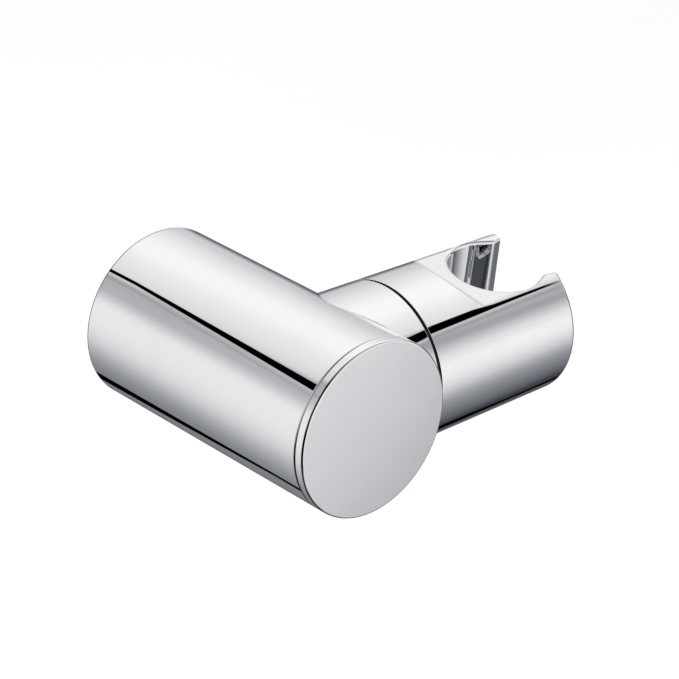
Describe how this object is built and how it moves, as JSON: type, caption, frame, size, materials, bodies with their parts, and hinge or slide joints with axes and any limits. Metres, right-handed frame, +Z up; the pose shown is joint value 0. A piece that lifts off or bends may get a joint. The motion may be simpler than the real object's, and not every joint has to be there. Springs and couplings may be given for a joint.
{
  "type": "hand shower holder",
  "caption": "Wall-mounted hand shower holder: round chrome drum with a side arm, whose swivelling head has a flat cut and a tapered open slot that takes the hose nut.",
  "frame": {"origin": "centre of the round face that goes on the wall", "axes": "+Y into the wall along the drum's axis, +X along the side arm, +Z up"},
  "size_m": [0.084, 0.0712, 0.04],
  "materials": {
    "chrome": "mirror-bright chrome plating",
    "steel": "plain stainless steel",
    "black_ring": "matt black",
    "bush_plastic": "natural moulded"
  },
  "bodies": {
    "holder": {"wall_body": "chrome", "front_cap": "chrome", "friction_ring": "black_ring", "pivot_bush": "bush_plastic"},
    "head": {"swivel_head": "chrome", "pivot_screw": "steel", "thrust_washer": "steel", "nut_washer": "steel", "lock_nut": "steel", "disc_spring_1": "steel", "disc_spring_2": "steel", "disc_spring_3": "steel", "disc_spring_4": "steel", "nut_insert": "bush_plastic"}
  },
  "joints": [
    {"name": "head_swivel", "type": "hinge", "parent": "holder", "child": "head", "pos_m": [0, -0.0495, 0], "axis": [1, 0, 0], "continuous": true}
  ]
}
